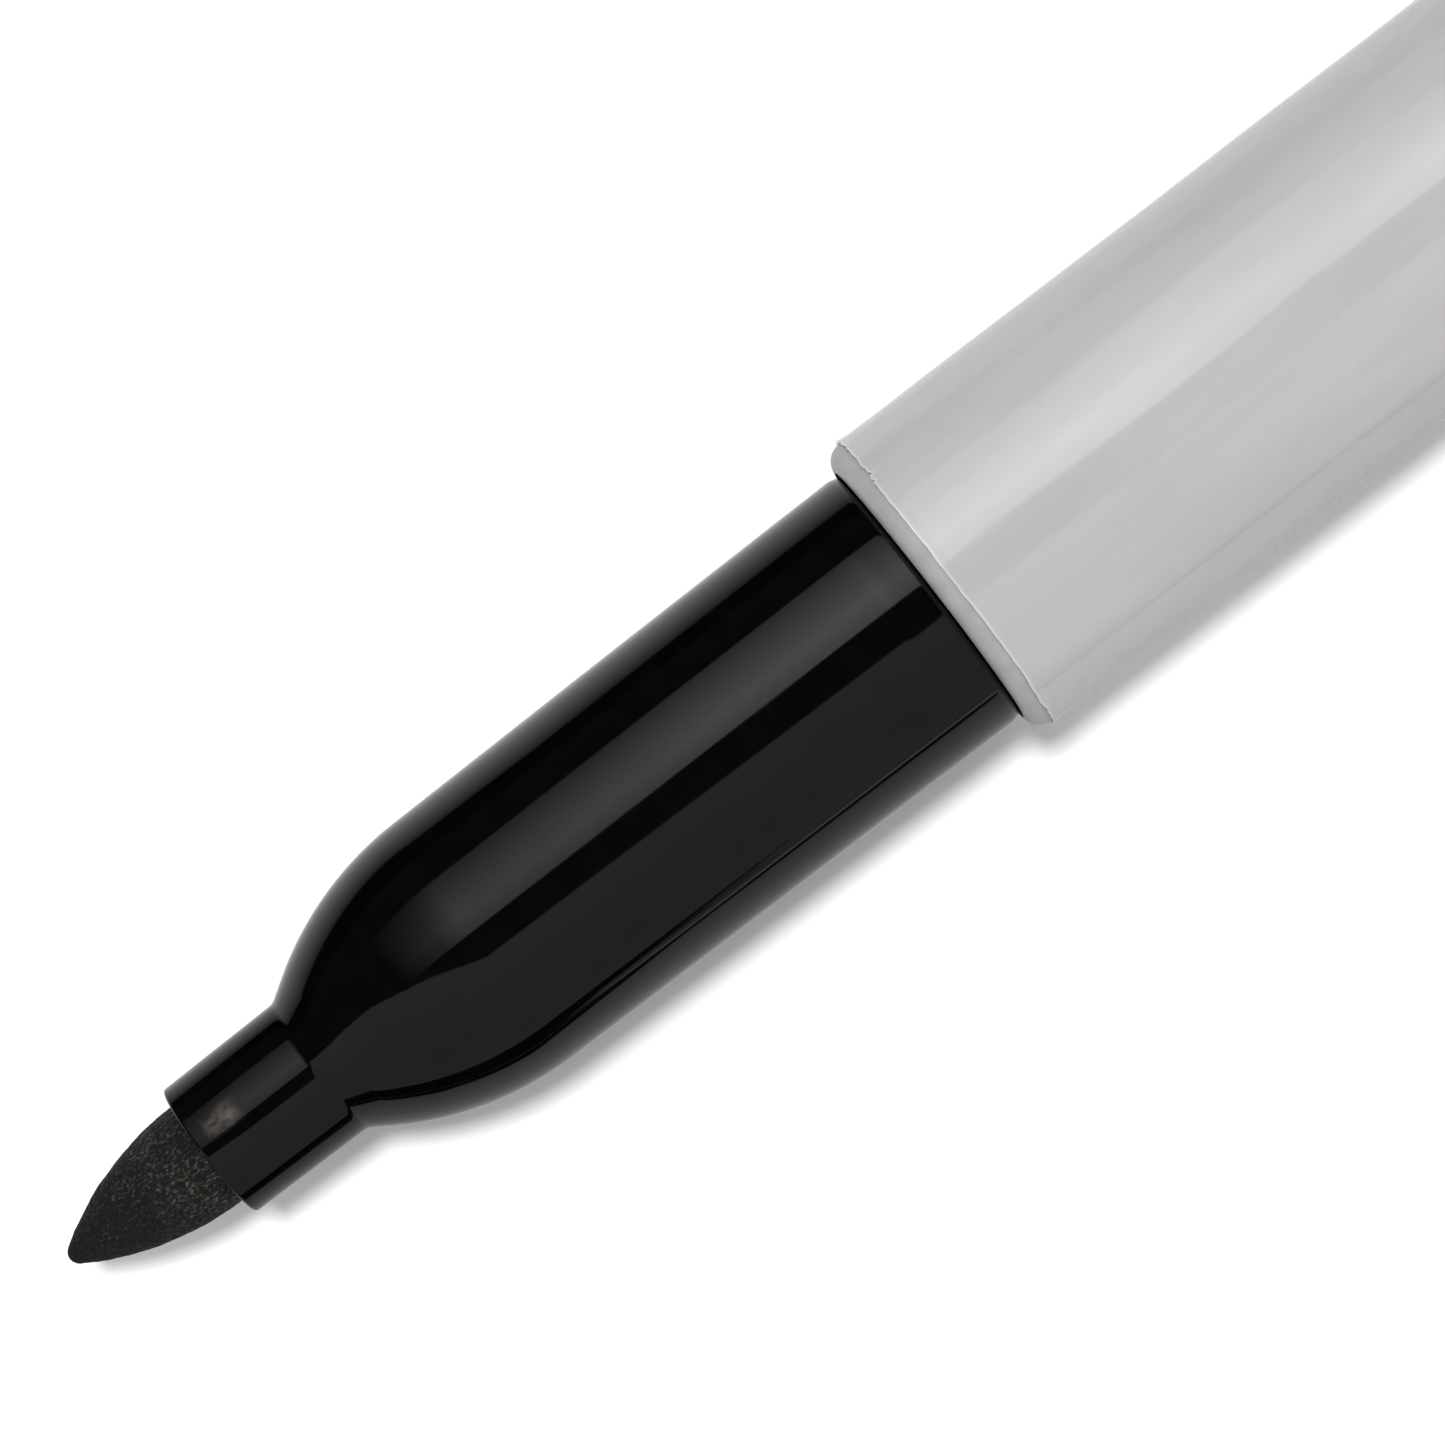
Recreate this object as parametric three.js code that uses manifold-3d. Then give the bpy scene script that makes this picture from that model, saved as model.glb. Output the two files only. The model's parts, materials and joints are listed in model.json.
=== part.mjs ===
// A felt tip permanent marker lying on its side, uncapped, with its cap posted on the tail.
// Millimetres, +Z up. The marker's axis lies along X with the nib towards -X, and dips a little
// towards the nib, because the marker lies on its barrel's front and on the boss of its cap's clip.
// The origin is on the desk, under the middle of the marker and its cap.
//
// Lengths along the marker are stations: distances behind the tip of the nib.
// Lengths along the cap are depths: distances behind its mouth.

import * as THREE from 'three';
import { mergeVertices } from 'three/addons/utils/BufferGeometryUtils.js';
import Module from 'manifold-3d';

const wasm = await Module();
wasm.setup();

// ---- Driving dimensions ----------------------------------------------------------------------

const SEGMENTS = 48;                 // facets round every turned piece
const RUN_GAP = 0.08;                // running clearance between coaxial mouldings

const MARKER_LENGTH = 130;           // without the cap
const SEAT = 34.36;                  // station of the barrel's front lip, where the cap stops

const NIB_R = 1.865;
const NIB_TIP_R = 0.4;               // ball at the very point
const NIB_OGIVE_R = 9.95;            // long arc from the ball to the shank
const NIB_LENGTH = 31;

const NOZZLE_FRONT = 5.6;            // station of the nozzle's face
const NOZZLE_R = 2.42;
const NOZZLE_EDGE_R = 0.16;
const NOZZLE_END = 9.86;             // station where the shoulder's fillet begins
const NOZZLE_END_R = 2.47;
const SHOULDER_FILLET_R = 0.5;
const SHOULDER_ANGLE = THREE.MathUtils.degToRad(30.6);
const SHOULDER_ARC_R = 10.9;
const SHOULDER_END = 16.6;           // station where the shoulder becomes the grip
const SHOULDER_END_R = 4.655;
const GRIP_R = 4.79;                 // at the barrel's lip
const SECTION_CAVITY_R = 3.9;
const SECTION_WEB_END = 15;          // station where the nib's holder opens into the cavity
const SPIGOT_R = 4.7;
const SPIGOT_END = 46;
const SNAP_STATION = 41;
const SNAP_HEIGHT = 0.13;
const SNAP_WIDTH = 1.6;

const BARREL_R = 5.52;               // at the front
const BARREL_END_R = 5.1;            // at the rear
const BARREL_END = 115.6;
const LIP_R = 0.64;                  // rounding of the front lip
const LIP_BORE_R = BARREL_R - LIP_R;
const BARREL_WALL = 0.82;
const BARREL_RIB_COUNT = 6;
const BARREL_RIB_FRONT = 50;
const BARREL_RIB_REAR = 104;
const BARREL_RIB_WIDTH = 0.7;

const FILM_FRONT = 34.98;
const FILM_REAR = 114.9;
const FILM_GAP = 0.015;
const FILM_THICKNESS = 0.07;

const RESERVOIR_R = 3.62;
const RESERVOIR_FRONT = 22;
const RESERVOIR_REAR = 104.5;
const NIB_POCKET_REAR = 32;          // the shank sits in this hole in the reservoir
const WRAP_THICKNESS = 0.08;
const BREATHER_R = 0.5;
const BREATHER_BORE_R = 0.3;
const BREATHER_GROOVE_R = 0.6;
const BREATHER_OFFSET = 3.08;        // of the tube's axis from the marker's axis

const PLUG_FRONT = 107;
const TAIL_R = 4.75;
const TAIL_END_R = 4.55;
const TAIL_EDGE_R = 0.9;
const PLUG_WALL = 1;

const CAP_LENGTH = 41.5;
const CAP_POSTED_GAP = 0.1;          // between the posted cap's mouth and the barrel's end
const CAP_MOUTH_OUTER_R = 6.05;
const CAP_CROWN_OUTER_R = 5.7;
const CAP_BORE_R = TAIL_R + 0.13;
const CAP_BORE_END = 19;             // depth where the bore narrows behind the grip
const CAP_DEEP_R = 4.55;
const CAP_DEEP_START = 21;
const CAP_INNER_DEPTH = 39.3;
const CAP_CROWN_EDGE_R = 1.1;
const CAP_MOUTH_EDGE_R = 0.35;
const CAP_RIB_COUNT = 8;
const CAP_RIB_WIDTH = 0.5;
const CAP_RIB_HEIGHT = 0.35;

const LINER_MOUTH_DEPTH = 25;
const LINER_R = 3.3;
const LINER_BORE_R = 2.55;
const LINER_FLANGE_R = 4.45;
const LINER_FLANGE = 1.2;

const CLIP_LENGTH = 31;
const CLIP_ROOT_DEPTH = 38.2;        // depth of the joint between the clip and its boss
const CLIP_WIDTH = 4.6;
const CLIP_TIP_WIDTH = 4;
const CLIP_ROOT_INNER = 7.05;        // distances of the arm's two faces from the cap's axis,
const CLIP_ROOT_OUTER = 8.45;        // at its root and at its toe
const CLIP_TOE_INNER = 6.6;
const CLIP_TOE_OUTER = 7.7;
const CLIP_ROOT_LENGTH = 4;
const CLIP_TOE_LENGTH = 3.2;
const CLIP_GAP = 0.25;
const BOSS_REACH = 8.55;
const BOSS_WIDTH = 5;
const BOSS_LENGTH = 2;
const BOSS_FLAT = 1;                 // length of the boss's outer face

// The film's front edge and the boss are what touches the desk.
const CAP_STATION = BARREL_END + CAP_POSTED_GAP;
const BOSS_STATION = CAP_STATION + CLIP_ROOT_DEPTH;
const FILM_REACH = BARREL_R + FILM_GAP + FILM_THICKNESS;
const NIB_DIP = Math.atan2(BOSS_REACH - FILM_REACH, BOSS_STATION - FILM_FRONT);

// ---- Materials -------------------------------------------------------------------------------

const finish = (color, roughness) => new THREE.MeshStandardMaterial({ color, roughness, metalness: 0 });
const BLACK_PLASTIC = finish(0x0a0a0b, 0.15);
const GREY_PLASTIC = finish(0xb2b3b5, 0.3);
const GREY_FILM = finish(0xb9babc, 0.22);
const FELT = finish(0x1e1d1a, 0.95);
const RESERVOIR_FIBRE = finish(0x2a2933, 0.9);
const CLEAR_FILM = finish(0xdfe2e4, 0.2);
const WHITE_TUBE = finish(0xe8e8e4, 0.35);
const SOFT_LINER = finish(0xdcdad2, 0.45);

// ---- Outlines and solids ---------------------------------------------------------------------

const point = (along, radius) => new THREE.Vector2(radius, along);

// Points of a circular arc about (along, radius), angles measured from the +along direction.
function arc(along, radius, arcRadius, fromAngle, toAngle, steps) {
  return Array.from({ length: steps + 1 }, (_, i) => {
    const angle = fromAngle + (toAngle - fromAngle) * (i / steps);
    return point(along + arcRadius * Math.cos(angle), radius + arcRadius * Math.sin(angle));
  });
}

// A solid of revolution about X. The outline runs outside first, towards +X.
function turned(outline) {
  return new THREE.LatheGeometry(outline, SEGMENTS).rotateZ(-Math.PI / 2);
}

// A turned shell: the outer outline runs towards +X and the bore comes back.
const shell = (outer, bore) => turned([...outer, ...bore, outer[0].clone()]);

function box(fromX, toX, fromY, toY, fromZ, toZ) {
  const geometry = new THREE.BoxGeometry(toX - fromX, toY - fromY, toZ - fromZ);
  return geometry.translate((fromX + toX) / 2, (fromY + toY) / 2, (fromZ + toZ) / 2);
}

function solid(geometry) {
  const bare = geometry.clone();
  bare.deleteAttribute('normal');
  bare.deleteAttribute('uv');
  const merged = mergeVertices(bare, 1e-4);
  const corners = merged.index.array;
  const triVerts = [];
  for (let i = 0; i < corners.length; i += 3) {
    const [a, b, c] = corners.slice(i, i + 3);
    if (a !== b && b !== c && c !== a) {
      triVerts.push(a, b, c);
    }
  }
  const vertProperties = new Float32Array(merged.attributes.position.array);
  return new wasm.Manifold(new wasm.Mesh({
    numProp: 3,
    vertProperties,
    triVerts: new Uint32Array(triVerts),
  }));
}

function geometryOf(result) {
  const mesh = result.getMesh();
  const geometry = new THREE.BufferGeometry();
  geometry.setAttribute('position', new THREE.BufferAttribute(mesh.vertProperties, 3));
  geometry.setIndex(new THREE.BufferAttribute(mesh.triVerts, 1));
  return geometry;
}

const union = (first, others) => others.reduce((sum, item) => sum.add(solid(item)), solid(first));

function piece(name, geometry, material) {
  const mesh = new THREE.Mesh(geometry, material);
  mesh.name = name;
  return mesh;
}

// Straight taper between two stations.
const taper = (station, from, fromR, to, toR) => fromR + ((station - from) / (to - from)) * (toR - fromR);
const barrelRadius = (station) => taper(station, SEAT + LIP_R, BARREL_R, BARREL_END, BARREL_END_R);
const capRadius = (depth) => taper(depth, 0, CAP_MOUTH_OUTER_R, CAP_LENGTH, CAP_CROWN_OUTER_R);

// ---- Nib -------------------------------------------------------------------------------------

function feltNib() {
  const centreDrop = NIB_OGIVE_R - NIB_R;
  const ogiveEnd = NIB_TIP_R + Math.sqrt((NIB_OGIVE_R - NIB_TIP_R) ** 2 - centreDrop ** 2);
  const blend = Math.PI - Math.atan2(centreDrop, ogiveEnd - NIB_TIP_R);
  const ball = arc(NIB_TIP_R, 0, NIB_TIP_R, Math.PI, blend, 4);
  ball[0].x = 0;
  const ogive = arc(ogiveEnd, -centreDrop, NIB_OGIVE_R, blend, Math.PI / 2, 10);
  return turned([
    ...ball,
    ...ogive.slice(1),
    point(NIB_LENGTH - 0.5, NIB_R),
    point(NIB_LENGTH, NIB_R - 0.5),
    point(NIB_LENGTH, 0),
  ]);
}

// ---- Front section: nozzle, shoulder, grip and spigot ----------------------------------------

// A raised ring, wide at its foot, that snaps into a groove of the same shape.
function snapRing(radius, height) {
  const half = SNAP_WIDTH / 2;
  return [
    point(SNAP_STATION - half, radius),
    point(SNAP_STATION - half / 3, radius + height),
    point(SNAP_STATION + half / 3, radius + height),
    point(SNAP_STATION + half, radius),
  ];
}

function frontSection() {
  const up = Math.PI / 2;
  const edge = arc(NOZZLE_FRONT + NOZZLE_EDGE_R, NOZZLE_R - NOZZLE_EDGE_R, NOZZLE_EDGE_R, Math.PI, up, 3);
  const fillet = arc(
    NOZZLE_END, NOZZLE_END_R + SHOULDER_FILLET_R, SHOULDER_FILLET_R, -up, -up + SHOULDER_ANGLE, 4);
  const shoulder = arc(
    SHOULDER_END, SHOULDER_END_R - SHOULDER_ARC_R, SHOULDER_ARC_R, up + SHOULDER_ANGLE, up, 10);
  const outer = [
    ...edge,
    ...fillet,
    ...shoulder,
    point(SEAT + 1.3, GRIP_R),
    point(SEAT + 1.6, SPIGOT_R),
    ...snapRing(SPIGOT_R, SNAP_HEIGHT),
    point(SPIGOT_END - 0.6, SPIGOT_R),
    point(SPIGOT_END, SPIGOT_R - 0.35),
  ];
  const nibBore = NIB_R + RUN_GAP;
  const bore = [
    point(SPIGOT_END, SECTION_CAVITY_R),
    point(SECTION_WEB_END + SECTION_CAVITY_R - nibBore, SECTION_CAVITY_R),
    point(SECTION_WEB_END, nibBore),
    point(NOZZLE_FRONT, nibBore),
  ];
  return shell(outer, bore);
}

// ---- Barrel and its label film ---------------------------------------------------------------

function barrel() {
  const up = Math.PI / 2;
  const lip = arc(SEAT + LIP_R, LIP_BORE_R, LIP_R, Math.PI, up, 6);
  const rearEdge = 0.3;
  const outer = [
    ...lip,
    point(BARREL_END - rearEdge, barrelRadius(BARREL_END - rearEdge)),
    point(BARREL_END, BARREL_END_R - rearEdge),
  ];
  const spigotBore = SPIGOT_R + RUN_GAP;
  const plugBore = BARREL_END_R - BARREL_WALL;
  const bore = [
    point(BARREL_END, plugBore),
    point(PLUG_FRONT - 2, plugBore),
    point(SPIGOT_END + 1.2, barrelRadius(SPIGOT_END) - BARREL_WALL),
    point(SPIGOT_END + 1, spigotBore),
    ...snapRing(spigotBore, SNAP_HEIGHT).reverse(),
    point(SEAT + 1.75, spigotBore),
    point(SEAT + 1.5, LIP_BORE_R),
  ];
  const tube = shell(outer, bore);

  // Ribs along the bore keep the reservoir in the middle and leave air round it.
  const ribInner = RESERVOIR_R + WRAP_THICKNESS + RUN_GAP;
  const ribs = Array.from({ length: BARREL_RIB_COUNT }, (_, i) => {
    const half = BARREL_RIB_WIDTH / 2;
    const rib = box(BARREL_RIB_FRONT, BARREL_RIB_REAR, -half, half, ribInner, BARREL_END_R - BARREL_WALL / 2);
    return rib.rotateX((i / BARREL_RIB_COUNT) * 2 * Math.PI);
  });
  return geometryOf(union(tube, ribs));
}

function barrelFilm() {
  const inner = (station) => barrelRadius(station) + FILM_GAP;
  const outer = (station) => inner(station) + FILM_THICKNESS;
  return shell(
    [point(FILM_FRONT, outer(FILM_FRONT)), point(FILM_REAR, outer(FILM_REAR))],
    [point(FILM_REAR, inner(FILM_REAR)), point(FILM_FRONT, inner(FILM_FRONT))],
  );
}

// ---- Ink reservoir ---------------------------------------------------------------------------

// A round bar along X, beside the marker's axis.
function sideBar(radius, from, to, sides) {
  const bar = new THREE.CylinderGeometry(radius, radius, to - from, sides);
  return bar.rotateZ(-Math.PI / 2).translate((from + to) / 2, 0, BREATHER_OFFSET);
}

function reservoirCore() {
  const pocketR = NIB_R + RUN_GAP;
  const outer = [
    point(RESERVOIR_FRONT, RESERVOIR_R),
    point(RESERVOIR_REAR, RESERVOIR_R),
    point(RESERVOIR_REAR, 0),
  ];
  const pocket = [
    point(NIB_POCKET_REAR, 0),
    point(NIB_POCKET_REAR, pocketR),
    point(RESERVOIR_FRONT, pocketR),
  ];
  const core = turned([...pocket, ...outer]);
  const groove = sideBar(BREATHER_GROOVE_R, RESERVOIR_FRONT - 1, RESERVOIR_REAR + 1, 16);
  return geometryOf(solid(core).subtract(solid(groove)));
}

function reservoirFilm() {
  const inner = RESERVOIR_R + 0.02;
  const outer = inner + WRAP_THICKNESS;
  return shell(
    [point(RESERVOIR_FRONT + 0.5, outer), point(RESERVOIR_REAR - 0.5, outer)],
    [point(RESERVOIR_REAR - 0.5, inner), point(RESERVOIR_FRONT + 0.5, inner)],
  );
}

function breatherTube() {
  const from = RESERVOIR_FRONT - 0.8;
  const to = RESERVOIR_REAR + 1.5;
  const tube = solid(sideBar(BREATHER_R, from, to, 16));
  return geometryOf(tube.subtract(solid(sideBar(BREATHER_BORE_R, from - 1, to + 1, 16))));
}

// ---- Rear plug, the tail that carries the cap ------------------------------------------------

function rearPlug() {
  const up = Math.PI / 2;
  const spigot = BARREL_END_R - BARREL_WALL - RUN_GAP;
  const shoulder = BARREL_END + 0.06;
  const tailEdge = arc(MARKER_LENGTH - TAIL_EDGE_R, TAIL_END_R - TAIL_EDGE_R, TAIL_EDGE_R, up, 0, 5);
  return turned([
    point(MARKER_LENGTH - PLUG_WALL, 0),
    point(MARKER_LENGTH - PLUG_WALL, spigot - PLUG_WALL - 0.8),
    point(MARKER_LENGTH - PLUG_WALL - 0.8, spigot - PLUG_WALL),
    point(PLUG_FRONT, spigot - PLUG_WALL),
    point(PLUG_FRONT, spigot - 0.4),
    point(PLUG_FRONT + 0.6, spigot),
    point(shoulder, spigot),
    point(shoulder, TAIL_R - 0.15),
    point(shoulder + 0.15, TAIL_R),
    ...tailEdge,
    point(MARKER_LENGTH, 0),
  ]);
}

// ---- Cap: shell, inner liner and clip --------------------------------------------------------

// An outline in the clip's own plane, (depth, distance from the cap's axis), given a width.
function clipSolid(outline, width) {
  const extruded = new THREE.ExtrudeGeometry(new THREE.Shape(outline), { depth: width, bevelEnabled: false });
  return extruded.translate(0, 0, -width / 2).rotateX(Math.PI / 2);
}

const clipPoint = (depth, height) => new THREE.Vector2(depth, height);

function capShell() {
  const up = Math.PI / 2;
  const mouthR = capRadius(0);
  const crownCentre = CAP_LENGTH - CAP_CROWN_EDGE_R;
  const outer = [
    ...arc(CAP_MOUTH_EDGE_R, mouthR - CAP_MOUTH_EDGE_R, CAP_MOUTH_EDGE_R, Math.PI, up, 3),
    ...arc(crownCentre, capRadius(crownCentre) - CAP_CROWN_EDGE_R, CAP_CROWN_EDGE_R, up, 0, 6),
    point(CAP_LENGTH, 0),
  ];
  const bore = [
    point(CAP_INNER_DEPTH, 0),
    point(CAP_INNER_DEPTH, CAP_DEEP_R),
    point(CAP_DEEP_START, CAP_DEEP_R),
    point(CAP_BORE_END, CAP_BORE_R),
    point(0.4, CAP_BORE_R),
    point(0, CAP_BORE_R + 0.3),
  ];
  const tube = turned([...bore, ...outer]);

  // Ribs inside the narrow part stop the grip's shoulder.
  const ribs = Array.from({ length: CAP_RIB_COUNT }, (_, i) => {
    const half = CAP_RIB_WIDTH / 2;
    const inner = CAP_DEEP_R - CAP_RIB_HEIGHT;
    const rib = box(CAP_DEEP_START + 1, LINER_MOUTH_DEPTH + 8, -half, half, inner, CAP_DEEP_R + 0.5);
    return rib.rotateX(((i + 0.5) / CAP_RIB_COUNT) * 2 * Math.PI);
  });

  // The boss that the clip grows from.
  const bossEnd = CLIP_ROOT_DEPTH + BOSS_LENGTH;
  const boss = clipSolid([
    clipPoint(CLIP_ROOT_DEPTH, CAP_DEEP_R + 0.5),
    clipPoint(bossEnd, CAP_DEEP_R + 0.5),
    clipPoint(bossEnd, capRadius(bossEnd)),
    clipPoint(bossEnd - 0.3, BOSS_REACH - 1),
    clipPoint(CLIP_ROOT_DEPTH + BOSS_FLAT, BOSS_REACH),
    clipPoint(CLIP_ROOT_DEPTH, BOSS_REACH),
  ], BOSS_WIDTH);
  return geometryOf(union(tube, [...ribs, boss]));
}

function capLiner() {
  const base = CAP_INNER_DEPTH - 0.05;
  return turned([
    point(base - LINER_FLANGE, 0),
    point(base - LINER_FLANGE, LINER_BORE_R),
    point(LINER_MOUTH_DEPTH + 0.5, LINER_BORE_R),
    point(LINER_MOUTH_DEPTH, LINER_BORE_R + 0.25),
    point(LINER_MOUTH_DEPTH, LINER_R - 0.15),
    point(LINER_MOUTH_DEPTH + 0.3, LINER_R),
    point(base - LINER_FLANGE, LINER_R),
    point(base - LINER_FLANGE, LINER_FLANGE_R),
    point(base, LINER_FLANGE_R),
    point(base, 0),
  ]);
}

function pocketClip() {
  const root = CLIP_ROOT_DEPTH - CLIP_GAP;
  const tip = root - CLIP_LENGTH;
  const overCap = (depth) => capRadius(depth) + CLIP_GAP;
  const toeTop = CLIP_TOE_OUTER - 0.3;
  const side = [
    clipPoint(root, overCap(root)),
    clipPoint(root, CLIP_ROOT_OUTER),
    clipPoint(tip + CLIP_TOE_LENGTH, CLIP_TOE_OUTER),
    clipPoint(tip + 0.7, toeTop),
    clipPoint(tip, toeTop - 0.6),
    clipPoint(tip + 0.2, overCap(tip) + 0.35),
    clipPoint(tip + 1, overCap(tip) + 0.05),
    clipPoint(tip + CLIP_TOE_LENGTH * 0.6, overCap(tip) + 0.1),
    clipPoint(tip + CLIP_TOE_LENGTH, CLIP_TOE_INNER),
    clipPoint(root - CLIP_ROOT_LENGTH, CLIP_ROOT_INNER),
    clipPoint(root - CLIP_ROOT_LENGTH * 0.6, overCap(root)),
  ];
  const bar = solid(clipSolid(side, CLIP_WIDTH));

  // The arm narrows towards its toe.
  const plan = new THREE.Shape([
    clipPoint(root + 1, -CLIP_WIDTH / 2),
    clipPoint(root + 1, CLIP_WIDTH / 2),
    clipPoint(root - CLIP_ROOT_LENGTH, CLIP_WIDTH / 2),
    clipPoint(tip + 1, CLIP_TIP_WIDTH / 2),
    clipPoint(tip, CLIP_TIP_WIDTH / 2 - 0.8),
    clipPoint(tip, -CLIP_TIP_WIDTH / 2 + 0.8),
    clipPoint(tip + 1, -CLIP_TIP_WIDTH / 2),
    clipPoint(root - CLIP_ROOT_LENGTH, -CLIP_WIDTH / 2),
  ]);
  const planSolid = new THREE.ExtrudeGeometry(plan, { depth: 20, bevelEnabled: false });
  return geometryOf(bar.intersect(solid(planSolid)));
}

// ---- Assembly --------------------------------------------------------------------------------

const marker = new THREE.Group();
marker.add(
  piece('felt_nib', feltNib(), FELT),
  piece('front_section', frontSection(), BLACK_PLASTIC),
  piece('barrel', barrel(), GREY_PLASTIC),
  piece('barrel_film', barrelFilm(), GREY_FILM),
  piece('reservoir_core', reservoirCore(), RESERVOIR_FIBRE),
  piece('reservoir_film', reservoirFilm(), CLEAR_FILM),
  piece('breather_tube', breatherTube(), WHITE_TUBE),
  piece('rear_plug', rearPlug(), BLACK_PLASTIC),
);

// The posted cap: its mouth stops at the barrel's rear end, and its clip points down.
const cap = new THREE.Group();
cap.add(
  piece('cap_shell', capShell(), BLACK_PLASTIC),
  piece('cap_liner', capLiner(), SOFT_LINER),
  piece('pocket_clip', pocketClip(), BLACK_PLASTIC),
);
cap.position.x = CAP_STATION;
cap.rotation.x = Math.PI;
marker.add(cap);
marker.rotation.y = -NIB_DIP;

// Stand the origin on the desk, under the middle of the whole marker.
const extent = new THREE.Box3().setFromObject(marker, true);
const middle = extent.getCenter(new THREE.Vector3());
marker.position.set(-middle.x, -middle.y, -extent.min.z);

const partModel = new THREE.Group();
partModel.add(marker);

export default partModel;
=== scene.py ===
"""A felt tip marker lying on a pale desk, seen from above, close to its writing end.

Lengths named here are millimetres, as in the part's design, and MM turns them into metres.
A station is a distance behind the nib's tip. A depth is a distance behind the cap's mouth.
An angle round the marker is counted in degrees from straight up, positive towards -Y.
"""

import json
import math

import bmesh
import bpy
from mathutils import Matrix, Vector, noise


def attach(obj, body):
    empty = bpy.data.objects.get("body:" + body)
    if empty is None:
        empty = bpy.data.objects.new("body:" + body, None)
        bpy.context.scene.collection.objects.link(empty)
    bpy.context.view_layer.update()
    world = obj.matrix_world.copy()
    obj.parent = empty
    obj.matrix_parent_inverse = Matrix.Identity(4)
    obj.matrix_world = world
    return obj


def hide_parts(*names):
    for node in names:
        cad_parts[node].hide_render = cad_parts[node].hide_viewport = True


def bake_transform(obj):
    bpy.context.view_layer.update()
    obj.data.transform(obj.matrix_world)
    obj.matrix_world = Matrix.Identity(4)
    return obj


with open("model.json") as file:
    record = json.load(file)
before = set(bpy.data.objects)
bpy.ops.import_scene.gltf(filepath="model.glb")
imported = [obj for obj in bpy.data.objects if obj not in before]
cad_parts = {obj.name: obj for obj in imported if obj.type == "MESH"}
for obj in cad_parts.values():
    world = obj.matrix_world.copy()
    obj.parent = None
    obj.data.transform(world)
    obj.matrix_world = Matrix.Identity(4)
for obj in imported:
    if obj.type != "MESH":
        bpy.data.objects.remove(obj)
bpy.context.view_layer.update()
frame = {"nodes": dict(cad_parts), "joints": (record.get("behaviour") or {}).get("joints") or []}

MM = 0.001


# ---- Places taken from the frame --------------------------------------------------------------

CAP_STATION = 115.7              # of the posted cap's mouth
PIVOT_DEPTH = 37.95              # of the clip's hinge, behind the cap's mouth
PIVOT_REACH = 8.45               # of the clip's hinge, from the marker's axis

JOINTS = {joint["name"]: joint for joint in frame["joints"]}
ALONG = Vector(JOINTS["cap_pull"]["axis"]).normalized()
LEFT = Vector((0, 1, 0))
UP = ALONG.cross(LEFT)
CLIP_AXIS = Vector(JOINTS["clip_flex"]["axis"])
CLIP_OUT = ALONG.cross(CLIP_AXIS)
PIVOT = Vector(JOINTS["clip_flex"]["pos_m"])
TIP = PIVOT - CLIP_OUT * (PIVOT_REACH * MM) - ALONG * ((CAP_STATION + PIVOT_DEPTH) * MM)
NIB_DIP = math.atan2(ALONG.z, ALONG.x)


# ---- Driving dimensions, millimetres ----------------------------------------------------------

MARKER_LENGTH = 130

NIB_R = 1.865
NIB_TIP_R = 0.4
NIB_OGIVE_R = 9.95
NIB_LENGTH = 31
NIB_BORE_R = 1.945
NIB_SKIN_END = 6.4               # the felt's surface is modelled finely down to here
NIB_CHAMFER = 0.5
GRAIN_HEIGHT = 0.016             # of the fibre ends in the felt's surface
LUMP_HEIGHT = 0.02
SURFACE_SINK = 0.008

NOZZLE_FRONT = 5.6
NOZZLE_R = 2.42
NOZZLE_EDGE_R = 0.1
NOZZLE_END = 9.86
NOZZLE_END_R = 2.47
SHOULDER_FILLET_R = 0.5
SHOULDER_ANGLE = math.radians(30.6)
SHOULDER_ARC_R = 10.9
SHOULDER_END = 16.6
SHOULDER_END_R = 4.655
GRIP_MIDDLE = 25
GRIP_MIDDLE_R = 4.735
GRIP_R = 4.79
GRIP_TUCK = 0.35                 # length of grip that narrows in front of the barrel
GRIP_TUCK_DROP = 0.1             # how much it narrows
SMEAR_AND_REFLECTION_STATION = 6.75             # of a small brownish patch on the nozzle, partly a dried smear and partly a painted reflection
SMEAR_AND_REFLECTION_ACROSS = 0.6
CAVITY_R = 3.9
WEB_END = 15
SPIGOT_R = 4.7
SPIGOT_END = 46
PARTING_DEGREES = 49
PARTING_HEIGHT = 0.012
PARTING_HALF_WIDTH = 0.45
PARTING_START = 16               # in front of it the line has been polished away

BARREL_FRONT = 34.36
BARREL_REAR = 115.6
BARREL_R = 5.52
BARREL_END_R = 5.1
LIP_R = 0.64
BARREL_WALL = 0.82
SPIGOT_BORE_R = 4.78

FILM_FRONT = 34.98
FILM_REAR = 114.9
FILM_LIFT = 0.02
FILM_THICKNESS = 0.07
FILM_CURL = 0.045
FILM_CURL_LENGTH = 0.35
EDGE_HIGHLIGHT_WIDTH = 0.12                 # of the pale line along the film's cut edge, a painted highlight
RIPPLE_HEIGHT = 0.028            # of the broad waves in the film
CREASE_HEIGHT = 0.008            # of the narrow ones
EDGE_WANDER = 0.09               # of the cut edge, forwards and back
EDGE_ROUGHNESS = 0.035

TAIL_R = 4.75
TAIL_END_R = 4.55
TAIL_EDGE_R = 0.9
TAIL_RECESS_R = 1.4
TAIL_RECESS_DEPTH = 0.12
PLUG_FRONT = 107
PLUG_SPIGOT_R = 4.2
PLUG_WALL = 1

CAP_LENGTH = 41.5
CAP_MOUTH_OUTER_R = 6.05
CAP_CROWN_OUTER_R = 5.7
CAP_BORE_R = 4.88
CAP_BORE_END = 19
CAP_DEEP_R = 4.55
CAP_DEEP_START = 21
CAP_INNER_DEPTH = 39.3
CAP_CROWN_EDGE_R = 1.1
CAP_MOUTH_EDGE_R = 0.35
CROWN_RECESS_R = 2.95
CROWN_RECESS_DEPTH = 0.15
CROWN_PIP_R = 0.5                # of the moulding mark in the middle of the recess

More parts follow.
